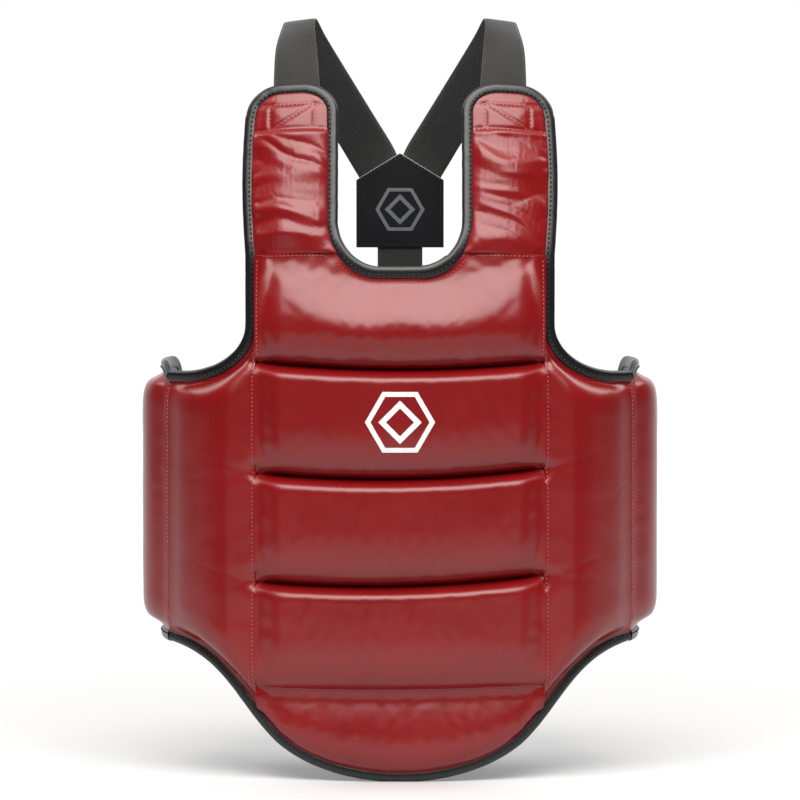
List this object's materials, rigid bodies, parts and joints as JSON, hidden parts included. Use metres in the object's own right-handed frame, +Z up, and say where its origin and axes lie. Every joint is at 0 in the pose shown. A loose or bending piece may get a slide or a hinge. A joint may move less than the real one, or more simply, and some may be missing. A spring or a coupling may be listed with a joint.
{
  "type": "chest protector",
  "caption": "Quilted red kickboxing chest protector with wrap-round side wings, tail, shoulder flaps, elastic back harness and hook-and-loop waist closure.",
  "frame": {"origin": "on the upright middle line of the wearer's body, at the height of the tail tip", "axes": "+Z up along the spine, -Y out of the front of the chest, +X across to the wearer's left side"},
  "size_m": [0.448, 0.2498, 0.6559],
  "materials": {
    "red_cover": "gloss",
    "black_binding": "satin",
    "foam": "matte",
    "lining_cloth": "matte",
    "elastic_webbing": "matte",
    "hook_and_loop": "matte",
    "white_print": "satin",
    "grey_print": "satin"
  },
  "bodies": {
    "front_panel": {"cover_upper_chest": "red_cover", "cover_chest": "red_cover", "cover_belly": "red_cover", "cover_lower_belly": "red_cover", "cover_side_left": "red_cover", "cover_side_right": "red_cover", "pad_upper_chest": "foam", "pad_chest": "foam", "pad_belly": "foam", "pad_lower_belly": "foam", "pad_side_left": "foam", "pad_side_right": "foam", "lining_front": "lining_cloth", "binding_neck": "black_binding", "binding_armhole_left": "black_binding", "binding_armhole_right": "black_binding", "binding_hem_left": "black_binding", "binding_hem_right": "black_binding", "chest_emblem": "white_print"},
    "tail_flap": {"cover_tail": "red_cover", "pad_tail": "foam", "lining_tail": "lining_cloth", "binding_tail": "black_binding"},
    "left_wing": {"cover_wing_left": "red_cover", "pad_wing_left": "foam", "lining_wing_left": "lining_cloth", "binding_wing_left": "black_binding"},
    "right_wing": {"cover_wing_right": "red_cover", "pad_wing_right": "foam", "lining_wing_right": "lining_cloth", "binding_wing_right": "black_binding"},
    "harness": {"cover_shoulder_left": "red_cover", "cover_shoulder_right": "red_cover", "pad_shoulder_left": "foam", "pad_shoulder_right": "foam", "lining_shoulder_left": "lining_cloth", "lining_shoulder_right": "lining_cloth", "binding_shoulder_left": "black_binding", "binding_shoulder_right": "black_binding", "strap_left": "elastic_webbing", "strap_right": "elastic_webbing", "yoke_inner": "black_binding", "yoke_outer": "black_binding", "yoke_emblem": "grey_print", "back_strap": "elastic_webbing", "waist_patch": "black_binding", "waist_loop": "hook_and_loop"},
    "left_belt": {"belt_left": "elastic_webbing", "belt_hook_left": "hook_and_loop", "belt_tab_left": "black_binding"},
    "right_belt": {"belt_right": "elastic_webbing", "belt_hook_right": "hook_and_loop", "belt_tab_right": "black_binding"}
  },
  "joints": [
    {"name": "tail_flex", "type": "hinge", "parent": "front_panel", "child": "tail_flap", "pos_m": [0, -0.111, 0.08], "axis": [1, 0, 0], "range_deg": [-15, 25], "stiffness_Nm_per_rad": 0.3},
    {"name": "left_wing_fold", "type": "hinge", "parent": "front_panel", "child": "left_wing", "pos_m": [-0.199, -0.0577, 0.237], "axis": [0, 0, 1], "range_deg": [0, 50]},
    {"name": "right_wing_fold", "type": "hinge", "parent": "front_panel", "child": "right_wing", "pos_m": [0.199, -0.0577, 0.237], "axis": [0, 0, -1], "range_deg": [0, 50]},
    {"name": "shoulder_fold", "type": "hinge", "parent": "front_panel", "child": "harness", "pos_m": [0, -0.104, 0.452], "axis": [-1, 0, 0], "range_deg": [0, 25]},
    {"name": "left_belt_swing", "type": "hinge", "parent": "left_wing", "child": "left_belt", "pos_m": [-0.1939, 0.0622, 0.237], "axis": [0, 0, 1], "range_deg": [0, 90]},
    {"name": "right_belt_swing", "type": "hinge", "parent": "right_wing", "child": "right_belt", "pos_m": [0.1939, 0.0622, 0.237], "axis": [0, 0, -1], "range_deg": [0, 90]}
  ]
}
